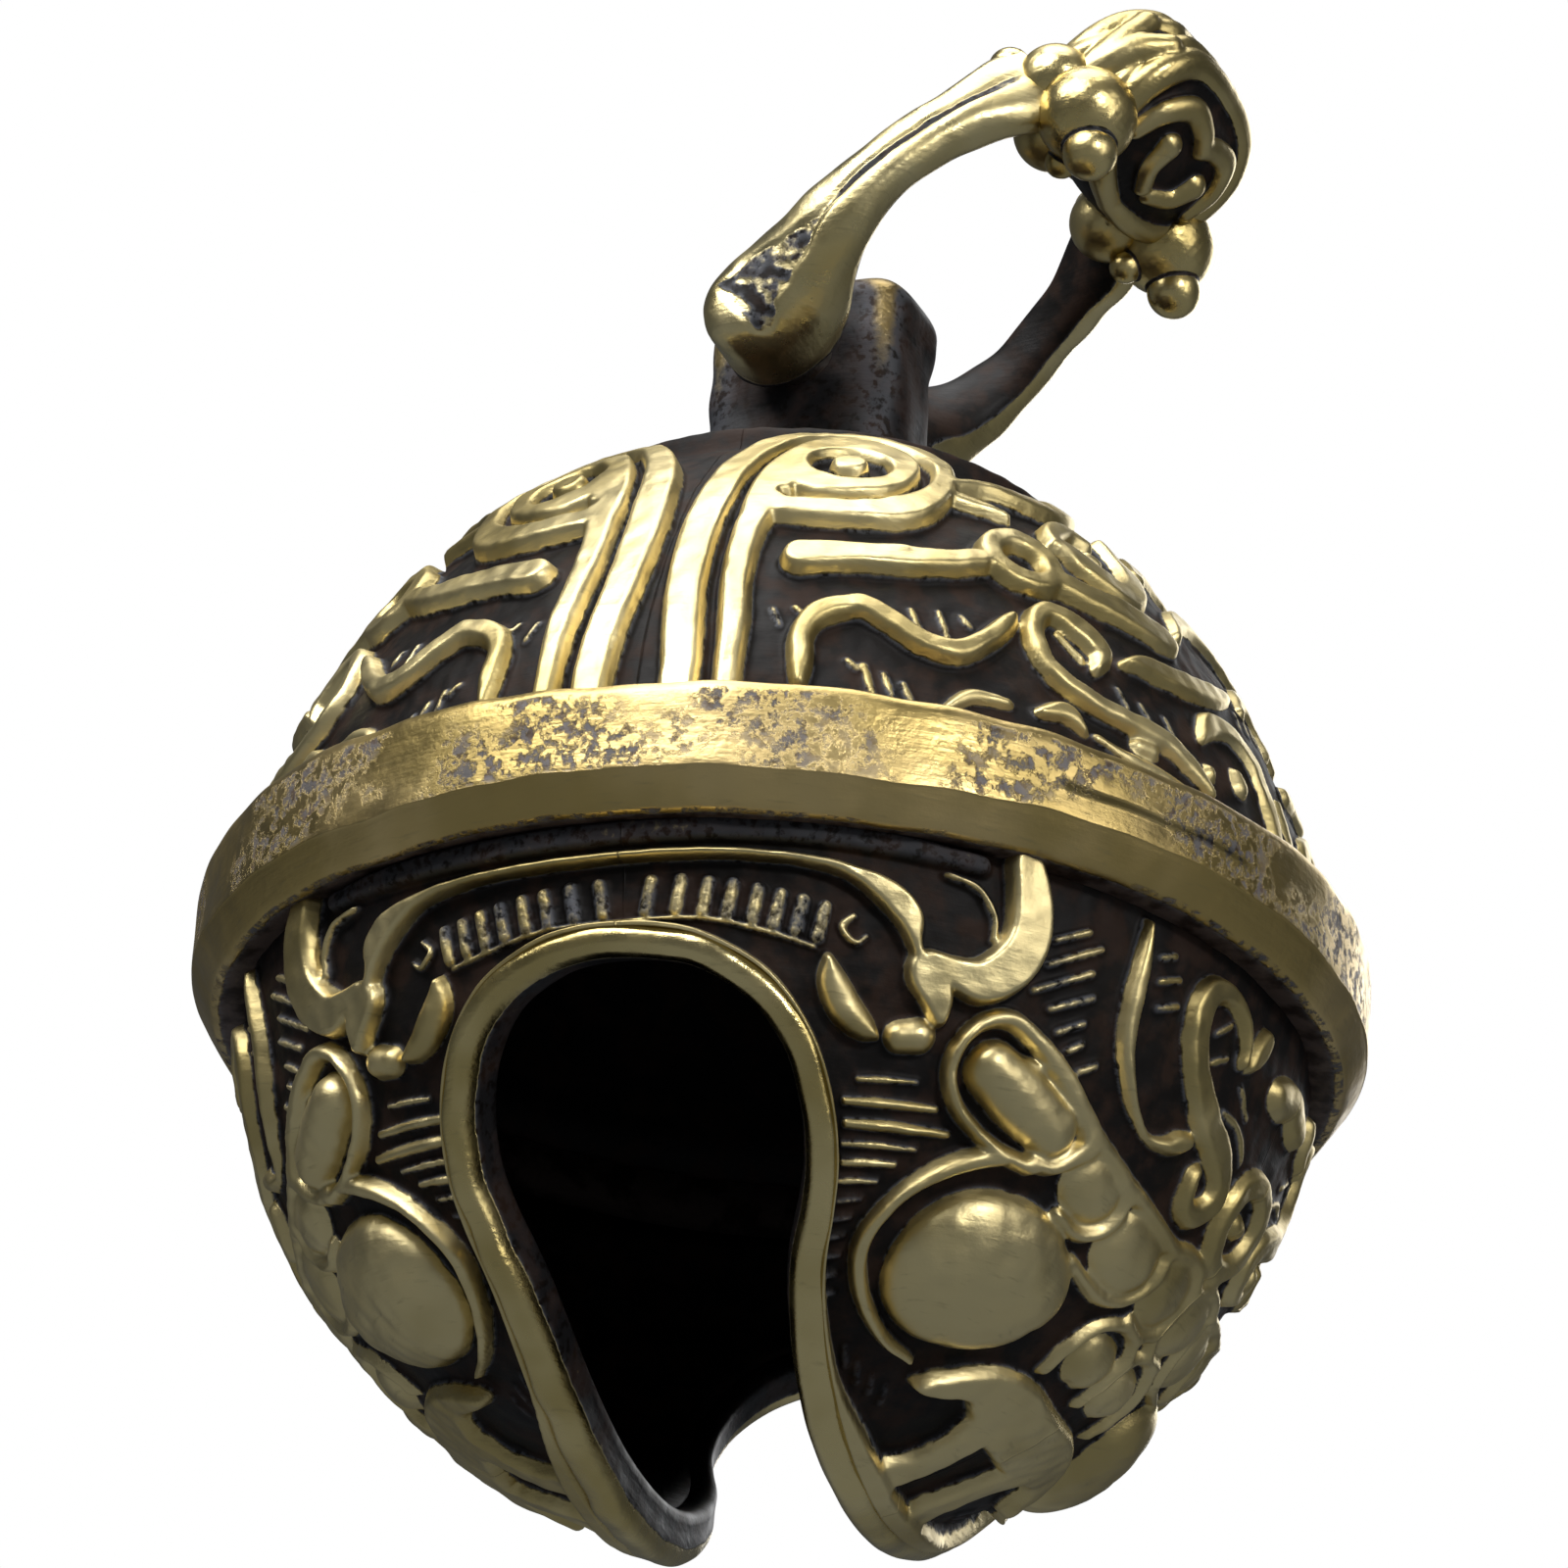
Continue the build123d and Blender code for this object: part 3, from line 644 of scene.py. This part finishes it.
def mouth_loop(count):
    """Unit vectors round the mouth: down the right side in front, under, up behind, and back."""
    front = [(x, -sqrt(EDGE_R**2 - x * x - d * d), -d) for x, d in MOUTH_EDGE]
    under = (SLOT_HALF, 0, -sqrt(EDGE_R**2 - SLOT_HALF**2))
    behind = [(x, -y, z) for x, y, z in reversed(front)]
    right = front + [under] + behind
    left = [(-x, y, z) for x, y, z in reversed(right)][1:-1]
    loop = evened(smooth_line(right + left, closed=True), count)
    return loop / np.linalg.norm(loop, axis=1)[:, None]


def loop_sides(loop):
    """At each point of the mouth's loop, the direction away from the opening."""
    along = np.roll(loop, -1, axis=0) - np.roll(loop, 1, axis=0)
    out = np.cross(loop, along)
    return out / np.linalg.norm(out, axis=1)[:, None]


SEAT_REACH = 0.5808  # from the mouth's edge to where the skin starts, under the rim
BOWL_TURN = 2.05
BOWL_COLUMNS, BOWL_ROWS = 1520, 232


def rim_growth(loop):
    """The rim widens from the mouth's top to the slot."""
    return 0.9 + 0.24 * ramp(-loop[:, 2] * EDGE_R, 8.5, 12.5)


loop = mouth_loop(BOWL_COLUMNS)
seat = loop + loop_sides(loop) * (SEAT_REACH / EDGE_R * rim_growth(loop))[:, None]
seat /= np.linalg.norm(seat, axis=1)[:, None]
equator = on_sphere(np.linspace(0, 360, BOWL_COLUMNS, endpoint=False), -3.5)
t = np.linspace(0, 1, BOWL_ROWS)[None, :, None]
unit = seat[:, None] * (1 - t) + equator[:, None] * t
unit /= np.linalg.norm(unit, axis=2)[:, :, None]
gap = np.linalg.norm(unit - seat[:, None], axis=2) * EDGE_R
below = ramp(-seat[:, 2], 0.88, 0.965)[:, None]
edge = 1 - ramp(gap, 0.08 + 0.3 * below, 0.2 + 0.45 * below)
shell_pieces(("bowl_front_right", "bowl_back_right", "bowl_back_left", "bowl_front_left"), unit,
             BOWL_FLOOR_R, bowl_relief, turn=BOWL_TURN, front_share=1.0, side_loss=0.3, edge=edge,
             inner_rows=12, node="lower_bowl")

# --- Mouth rim ---
# Across from the flat strip's inner edge, and out from the centre
RIM_SECTION = ((-0.1, 12.02), (-0.14, 12.45), (-0.15, 12.8), (-0.12, 13.02), (-0.06, 13.18), (0.02, 13.28),
               (0.12, 13.33), (0.24, 13.34), (0.42, 13.32), (0.55, 13.25), (0.62, 13.13), (0.64, 12.9),
               (0.6, 12.5), (0.5, 12.02))
RIM_STATIONS = 900
loop = mouth_loop(RIM_STATIONS)
out = loop_sides(loop)
section = smooth_line(RIM_SECTION, 3, closed=True)
wander = Waves(7)(loop * EDGE_R)
ripple = Waves(1.9)(loop * EDGE_R)
growth = rim_growth(loop)
points, shine = [], []
for across, radius in section:
    lift = ramp(radius, 12.2, 13.3)
    reach = (across * growth + (0.04 * wander + 0.015 * ripple) * lift) / EDGE_R
    place = loop + out * reach[:, None]
    place /= np.linalg.norm(place, axis=1)[:, None]
    points.append(place * (radius + (0.02 * ripple - 0.02) * lift)[:, None])
    # Painted shade: the rim's inner wall, inside about 12.75 to 13.05 mm from the centre, is coloured dark
    # where it faces down and in towards the cavity
    shine.append(np.full(RIM_STATIONS, 0.1 + 0.9 * ramp(radius, 12.75, 13.05)))
points = np.array(points)
faces = loft_faces(len(section), RIM_STATIONS, True, True)
make_mesh("mouth_bead", points.reshape(-1, 3) + CENTRE, faces, "bell", rim_look,
          np.array(shine).ravel(), "mouth_rim")

# --- Equator band ---
# Out from the centre, height and shine
BAND_SECTION = ((12.3, -1.35, 0), (13.05, -1.48, 0.1), (13.28, -1.5, 0.7), (13.45, -1.42, 1),
                (13.72, -1.05, 1), (13.9, -0.76, 1), (13.94, -0.62, 0.9), (13.95, 0.2, 0.8),
                (13.97, 1.0, 0.85), (13.93, 1.28, 1), (13.82, 1.42, 1), (13.6, 1.46, 0.8),
                (13.3, 1.42, 0.1), (12.3, 1.3, 0))
BAND_STATIONS = 1100
turn = np.linspace(0, 360, BAND_STATIONS, endpoint=False)
section = smooth_line(BAND_SECTION, 4)
circle = on_sphere(turn, np.zeros_like(turn))
wander = Waves(16)(circle * BAND_R)
ripple = Waves(2.6)(circle * BAND_R)
points, shine = [], []
for radius, height, gleam in section:
    outward = ramp(radius, 12.6, 13.6)
    place = circle * (radius + outward * (0.008 * ripple - 0.02))[:, None]
    place[:, 2] = height + outward * 0.07 * wander * np.sign(height) + 0.03 * ripple * outward
    points.append(place)
    shine.append(np.full(BAND_STATIONS, gleam))
faces = loft_faces(len(section), BAND_STATIONS, True, True, flip=True)
make_mesh("belt", np.array(points).reshape(-1, 3) + CENTRE, faces, "bell", band_look,
          np.array(shine).ravel(), "equator_band")

# --- Lug ---
LUG_HALF = (2.62, 1.68)
LUG_EDGE = 0.8  # radius of the top's edge
LUG_ROUNDING = 3.8
top_level = LUG_TOP - CENTRE_Z
levels = np.concatenate([np.linspace(12.4, 14.6, 16), np.linspace(14.8, 18.4, 26),
                         top_level - LUG_EDGE + LUG_EDGE * np.sin(np.linspace(0, pi / 2, 14))])
around = full_turn(200)
points, shine = [], []
for level in levels:
    over = max(0.0, level - (top_level - LUG_EDGE)) / LUG_EDGE
    inset = LUG_EDGE * (1 - sqrt(max(0.0, 1 - over * over)))
    flare = 0.22 * (1 - ramp(level, 13.3, 14.3))
    x, y = squircle(around, (LUG_HALF[0] - inset + flare, LUG_HALF[1] - inset + flare), LUG_ROUNDING)
    points.append(np.outer(x, ACROSS) + np.outer(y, PIVOT_AXIS) + (0, 0, level + CENTRE_Z))
    corner = np.abs(np.sin(2 * around)) ** 6
    wear = ramp(level, 15.5, 18.5)
    shine.append(0.12 + (0.25 + 0.45 * wear) * corner + 0.55 * over - 0.3 * (level < 14.4))
brim = points[-1]
for share in (0.8, 0.5, 0.15):
    centre = points[-1].mean(0)
    points.append(centre + (brim - centre) * share)
    shine.append(np.full(len(around), 0.7))
points, shine = np.array(points), np.array(shine)
points[..., :2] += PIVOT[:2]
rough_waves = Waves(1.8)
flat = points.reshape(-1, 3)
flat = flat + 0.03 * rough_waves(flat)[:, None] * np.sign(flat - flat.mean(0)) * (1, 1, 0)
faces = loft_faces(len(points), len(around), close_columns=True, flip=True)
faces.append(cap(len(points) - 1, len(around)))
faces.append(cap(0, len(around), flip=True))
make_mesh("lug", flat, faces, "bell", lug_look, shine.ravel(), "hanger_lug")


# --- Bail ---
def to_bail(points):
    """From along, out and up the bail to the bell's frame."""
    points = np.asarray(points)
    return PIVOT + points[:, :1] * PIVOT_AXIS + points[:, 1:2] * BAIL_FACE + points[:, 2:3] * BAIL_UP


# Up the bail: outer face, inner face, half width
ARM = ((-1.5, 4.25, 2.5, 0.0), (-1.46, 4.42, 2.36, 0.36), (-1.34, 4.6, 2.24, 0.7), (-1.1, 4.78, 2.12, 1.04),
       (-0.6, 4.92, 2.06, 1.38), (0.0, 4.98, 2.05, 1.5), (0.8, 5.1, 2.1, 1.46), (1.5, 5.25, 2.6, 1.3),
       (2.2, 5.38, 3.5, 1.1), (3.0, 5.48, 4.1, 0.92), (4.0, 5.5, 4.36, 0.76), (5.0, 5.36, 4.26, 0.7),
       (6.0, 5.12, 3.98, 0.7), (7.0, 4.78, 3.5, 0.8), (8.0, 4.3, 2.9, 1.05), (9.0, 3.6, 2.2, 1.2))
ARM_STATIONS, ARM_AROUND = 260, 112


def arm(name, end):
    line = smooth_line(ARM, 20)
    pick = np.linspace(0, len(line) - 1, ARM_STATIONS)
    line = np.stack([np.interp(pick, np.arange(len(line)), column) for column in line.T], axis=1)
    around = full_turn(ARM_AROUND)
    ones, zeros = np.ones(ARM_AROUND), np.zeros(ARM_AROUND)
    facing = ramp(np.sin(around), 0.35, 0.85)
    bulge = 0.06 * facing * (1 - np.abs(np.cos(around)) ** 2)
    dark_inner = ramp(-np.sin(around), 0.1, 0.6) * (1.0 if end > 0 else 0.85)
    points, shine = [], []
    for up, outer, inner, half in line:
        out, along = squircle(around, (max(half, 0.02), (outer - inner) / 2), 2.7)
        # A worn hollow in the pad, with a ragged edge, and a line on up the arm
        recess = ramp(up, -0.75, -0.45) * (1 - ramp(up, 2.6, 3.1))
        width = 0.92 * (1 - ramp(up, -0.6, 3.4)) + 0.02
        ragged = width * (1 + 0.1 * recess_waves(np.stack([out, zeros, ones * up], axis=1)))
        in_recess = recess * (1 - ramp(np.abs(out - 0.1) - ragged, -0.16, 0.08)) * facing
        line_depth = ramp(up, 2.4, 3.2) * (1 - ramp(up, 8.4, 8.9))
        in_line = line_depth * np.exp(-(((out - 0.06) / 0.1) ** 2)) * facing
        cut = 0.07 * in_recess + 0.08 * in_line
        middle = (outer + inner) / 2
        # The arm widens towards the crown and leans off its middle
        out = out * (1 + 0.14 * ramp(up, 1.5, 6.0)) - 0.4 * ramp(up, 1.0, 7.0) - 0.2 * ramp(up, 7.0, 9.0)
        points.append(np.stack([end * (middle + along - cut + bulge), out, ones * up], axis=1))
        mottle = 0.12 * recess_waves(np.stack([2 * out, zeros, ones * 2.4 * up], axis=1))
        shine.append(np.clip(1 - dark_inner - in_recess * (0.74 + mottle) - in_line * 1.1, 0.0, 1))
    flat = np.array(points).reshape(-1, 3)
    flat = flat + 0.014 * arm_waves(flat)[:, None] * (1, 1, 0)
    faces = loft_faces(ARM_STATIONS, ARM_AROUND, close_columns=True, flip=end < 0)
    faces += [cap(0, ARM_AROUND, flip=end > 0), cap(ARM_STATIONS - 1, ARM_AROUND, flip=end < 0)]
    make_mesh(name, to_bail(flat), faces, "bail", bail_look, np.array(shine).ravel(), "bail")


arm_waves = Waves(1.5)
recess_waves = Waves(1.1)
arm("bail_arm_front", -1)
arm("bail_arm_back", 1)


# --- Crown and bosses ---
def ball(centre, radius):
    points, faces = ball_grid(22, 32)
    return points * radius + centre, faces


TUBE_SIDES = 16


def strand(points):
    """A tube through points of along, out, up and radius, with round ends."""
    line = smooth_line(points, 8)
    centre, radius = line[:, :3], line[:, 3]
    along = np.gradient(centre, axis=0)
    along /= np.linalg.norm(along, axis=1)[:, None]
    side = np.cross(along, (0.31, 0.17, 0.94))
    side /= np.linalg.norm(side, axis=1)[:, None]
    up = np.cross(along, side)
    turn = full_turn(TUBE_SIDES)
    ring = np.cos(turn)[None, :, None] * side[:, None] + np.sin(turn)[None, :, None] * up[:, None]
    tube = (centre[:, None] + ring * radius[:, None, None]).reshape(-1, 3)
    faces = loft_faces(len(line), TUBE_SIDES, close_columns=True)
    faces.append(cap(0, TUBE_SIDES, flip=True))
    faces.append(cap(len(line) - 1, TUBE_SIDES))
    return [(tube, faces), ball(centre[0], radius[0]), ball(centre[-1], radius[-1])]


def skin(shapes, voxel, smoothing):
    """Joins closed shapes, in millimetres, into one skin. Its faces are turned for to_bail."""
    mesh = bpy.data.meshes.new("rough")
    points, faces = [], []
    for shape_points, shape_faces in shapes:
        start = sum(len(p) for p in points)
        points.append(shape_points)
        faces += [[start + k for k in face] for face in shape_faces]
    mesh.from_pydata(np.vstack(points).tolist(), [], faces)
    rough = new_object("rough", mesh)
    remesh = rough.modifiers.new("remesh", "REMESH")
    remesh.mode = "VOXEL"
    remesh.voxel_size = voxel
    soften = rough.modifiers.new("soften", "SMOOTH")
    soften.iterations = smoothing
    soften.factor = 0.5
    bpy.context.view_layer.update()
    done = rough.evaluated_get(bpy.context.evaluated_depsgraph_get()).to_mesh()
    co = np.zeros(len(done.vertices) * 3)
    done.vertices.foreach_get("co", co)
    faces = [list(p.vertices)[::-1] for p in done.polygons]
    bpy.data.objects.remove(rough)
    bpy.data.meshes.remove(mesh)
    return co.reshape(-1, 3), faces


def mirrored(points):
    """A strand and its reflections along the pivot and across the bail."""
    ways = ((1, 1), (-1, 1), (1, -1), (-1, -1))
    return [[(a * p[0], o * p[1], *p[2:]) for p in points] for a, o in ways]


CORE = np.array((0, 0, 10.3))
CORE_HALF = np.array((2.95, 1.62, 2.12))
CORE_POWER = 2.6
STRAND_GROWTH = 1.3


def core_reach(along, other, half):
    """The core's reach across, as a share, where it stands so far along and so far the other way."""
    rest = 1 - abs(along / CORE_HALF[0]) ** CORE_POWER - abs(other / half) ** CORE_POWER
    return max(rest, 0.0) ** (1 / CORE_POWER)


def on_face(points):
    """Strand points on the crown's face from along, up and radius."""
    return [(along, CORE_HALF[1] * core_reach(along, up - CORE[2], CORE_HALF[2]), up, radius)
            for along, up, radius in points]


def on_top(points):
    """Strand points over the crown's top from along, out and radius."""
    return [(along, out, CORE[2] + CORE_HALF[2] * core_reach(along, out, CORE_HALF[1]), radius)
            for along, out, radius in points]


core_points, core_faces = ball_grid(22, 32)
core_points /= np.sum(np.abs(core_points) ** CORE_POWER, axis=1)[:, None] ** (1 / CORE_POWER)
core_points = core_points * CORE_HALF + CORE
# On the face an outline, a teardrop and the loop over it, then strands over the top and down each end
OUTLINE = ((0, 8.5, 0.26), (1.2, 8.7, 0.3), (2.15, 9.2, 0.32), (2.6, 10.1, 0.34), (2.5, 11.2, 0.34),
           (1.9, 11.95, 0.34), (1.0, 12.22, 0.32), (0, 12.28, 0.32))
TEARDROP = ((0.2, 9.3, 0.2), (0.75, 9.7, 0.24), (0.95, 10.35, 0.3))
LOOP = ((1.95, 9.9, 0.2), (1.85, 10.7, 0.26), (1.25, 11.35, 0.28), (0.5, 11.3, 0.26), (0, 11.05, 0.26))
TOP = ((2.55, 0.55, 0.24), (1.9, 0.35, 0.3), (1.1, 0.5, 0.28), (0.4, 0.3, 0.26), (0, 0.32, 0.26))
END = ((2.98, 0, 9.2, 0.3), (3.0, 0.05, 10.2, 0.36), (2.85, 0.2, 11.1, 0.34), (2.5, 0.5, 11.8, 0.28))
END_INNER = ((2.75, 1.0, 9.2, 0.26), (2.85, 0.75, 10.2, 0.24), (2.8, 0.6, 10.9, 0.16))
strand_lines = []
for line in (on_face(OUTLINE), on_face(TEARDROP), on_face(LOOP), on_top(TOP), END, END_INNER):
    strand_lines += mirrored(line)
shapes = [(core_points, core_faces)]
for line in strand_lines:
    shapes += strand([(*point[:3], point[3] * STRAND_GROWTH) for point in line])
feet_at = [(end * 2.15, 0, 8.35) for end in (-1, 1)]
for foot in feet_at:
    shapes.append(ball(foot, 1.0))
crown_points, crown_faces = skin(shapes, 0.055, 3)
local = np.abs((crown_points - CORE) / CORE_HALF)
off_core = (np.sum(local**CORE_POWER, axis=1) ** (1 / CORE_POWER) - 1) * 1.9
from_foot = np.min([np.linalg.norm(crown_points - foot, axis=1) for foot in feet_at], axis=0)
shine = np.maximum(ramp(off_core, 0.02, 0.24), 0.45 * (from_foot < 1.06))
make_mesh("crown", to_bail(crown_points), crown_faces, "bail", crown_look, shine,
          "bail_crown")

# One cluster at each corner of the crown: a boss, its bead and a small bead, as along, out, up and radius
CLUSTER = ((3.1, 1.02, 9.1, 1.24), (3.3, 2.12, 8.5, 0.68), (2.5, 1.15, 7.95, 0.42))
OVER_INSET, OVER_SHARE = 0.62, 0.8
for name, end, face in (("boss_front_under", -1, 1), ("boss_front_over", -1, -1),
                        ("boss_back_under", 1, 1), ("boss_back_over", 1, -1)):
    inset, share = (OVER_INSET, OVER_SHARE) if face < 0 else (0, 1)
    balls = [((end * along, face * (out - inset), up), share * radius) for along, out, up, radius in CLUSTER]
    points, faces = skin([ball(centre, radius) for centre, radius in balls], 0.045, 2)
    depths = np.sort([np.linalg.norm(points - c, axis=1) - r for c, r in balls], axis=0)
    make_mesh(f"{name}_skin", to_bail(points), faces, "bail", boss_look,
              ramp(depths[1], 0.0, 0.16), name)

# --- Pellet ---
pellet_centre = (PELLET_LOW + PELLET_HIGH) / 2
pellet_radius = (PELLET_HIGH[0] - PELLET_LOW[0]) / 2
PELLET_SKIN = 0.03  # how far the skin stands inside the CAD ball
unit, faces = ball_grid(90, 150)
seam = np.exp(-((unit[:, 2] / 0.05) ** 2))
pits = ramp(Waves(0.9, 30)(unit * pellet_radius), 1.0, 1.8)
radius = pellet_radius - PELLET_SKIN + 0.02 * seam - 0.06 * pits
radius[-2:] = pellet_radius - PELLET_SKIN  # the poles
make_mesh("pellet", unit * radius[:, None] + pellet_centre, faces, "pellet", iron_look,
          replaces="sound_pellet")

pin = frame["nodes"]["pivot_pin"]
pin.data.materials.clear()
pin.data.materials.append(pin_look)

# --- Floor, world, lights and camera ---
FLOOR_DROP, FLOOR_HALF = 0.24, 3.0  # in metres
corners = [(x * FLOOR_HALF, y * FLOOR_HALF, -FLOOR_DROP) for x, y in ((-1, -1), (1, -1), (1, 1), (-1, 1))]
floor_mesh = bpy.data.meshes.new("floor")
floor_mesh.from_pydata(corners, [], [(0, 1, 2, 3)])
floor = new_object("floor", floor_mesh)
floor_look, _, shader, _ = new_material("floor")
shader.inputs["Base Color"].default_value = (0.82, 0.82, 0.81, 1)
shader.inputs["Roughness"].default_value = 0.8
# The lamps are small and close to the bell, so the floor has a glow of its own that doesn't reach the bell
shader.inputs["Emission Color"].default_value = (1, 1, 1, 1)
shader.inputs["Emission Strength"].default_value = 0.62
floor_mesh.materials.append(floor_look)
floor.visible_diffuse = False
floor.visible_glossy = False

world = bpy.data.worlds.new("studio")
bpy.context.scene.world = world
world.use_nodes = True
tree = world.node_tree
seen = tree.nodes["Background"]
seen.inputs["Color"].default_value = (1, 1, 1, 1)
seen.inputs["Strength"].default_value = 1.0
ambient = tree.nodes.new("ShaderNodeBackground")
ambient.inputs["Color"].default_value = (0.86, 0.92, 1, 1)
# Soft light from all round, stronger from below as off a white table
height = tree.nodes.new("ShaderNodeSeparateXYZ")
tree.links.new(tree.nodes.new("ShaderNodeTexCoord").outputs["Generated"], height.inputs["Vector"])
tree.links.new(spread(tree, height.outputs["Z"], -0.5, 0.05, 0.21, 0.085), ambient.inputs["Strength"])
path = tree.nodes.new("ShaderNodeLightPath")
both = tree.nodes.new("ShaderNodeMixShader")
tree.links.new(path.outputs["Is Camera Ray"], both.inputs["Fac"])
tree.links.new(ambient.outputs["Background"], both.inputs[1])
tree.links.new(seen.outputs["Background"], both.inputs[2])
tree.links.new(both.outputs["Shader"], tree.nodes["World Output"].inputs["Surface"])


def softbox(name, azimuth, elevation, distance, size, watts, color=(1, 1, 1)):
    """An area light aimed at the bell's centre. Azimuth 0 is in front, towards -Y."""
    light = bpy.data.lights.new(name, "AREA")
    light.shape = "RECTANGLE"
    light.size, light.size_y = size
    light.energy = watts
    light.color = color
    lamp = new_object(name, light)
    way = Vector(on_sphere(azimuth, elevation))
    target = Vector(CENTRE * MM)
    lamp.location = target + way * distance
    lamp.rotation_euler = way.to_track_quat("Z", "Y").to_euler()
    lamp.visible_camera = False


softbox("key", -22, 44, 0.32, (0.26, 0.20), 1.0)
softbox("fill", 70, 10, 0.34, (0.07, 0.24), 0.17, (1.0, 0.98, 0.94))
softbox("spark", 44, 14, 0.4, (0.05, 0.05), 0.42)
softbox("top", 10, 84, 0.30, (0.20, 0.20), 0.45)
softbox("back", 175, 30, 0.4, (0.3, 0.2), 0.5)

CAMERA_AZIMUTH, CAMERA_ELEVATION, CAMERA_ROLL = 17.05, -25.1, radians(4.5)
CAMERA_DISTANCE = 0.150
SENSOR, LENS = 36.0, 145.2
# The ball's centre stands below the picture's centre by this much of the sensor
AIM_UP, AIM_LEFT = 5.22, 0.09
way = Vector(on_sphere(CAMERA_AZIMUTH, CAMERA_ELEVATION))
level_right = Vector((cos(radians(CAMERA_AZIMUTH)), sin(radians(CAMERA_AZIMUTH)), 0))
level_up = way.cross(level_right)
right = level_right * cos(CAMERA_ROLL) + level_up * sin(CAMERA_ROLL)
up = level_up * cos(CAMERA_ROLL) - level_right * sin(CAMERA_ROLL)
eye = Vector(CENTRE * MM) + way * CAMERA_DISTANCE
reach = CAMERA_DISTANCE * SENSOR / LENS
aim = Vector(CENTRE * MM) + (up * AIM_UP + right * AIM_LEFT) * (reach / SENSOR)
back = (eye - aim).normalized()
right = (right - back * right.dot(back)).normalized()
up = back.cross(right)
camera_data = bpy.data.cameras.new("camera")
camera_data.sensor_width = SENSOR
camera_data.lens = LENS
camera_data.clip_start = 0.01
camera_data.clip_end = 20
camera = new_object("camera", camera_data)
turned = Matrix((right, up, back)).transposed().to_4x4()
camera.matrix_world = Matrix.Translation(eye) @ turned
bpy.context.scene.camera = camera
bpy.context.scene.view_settings.view_transform = "Standard"
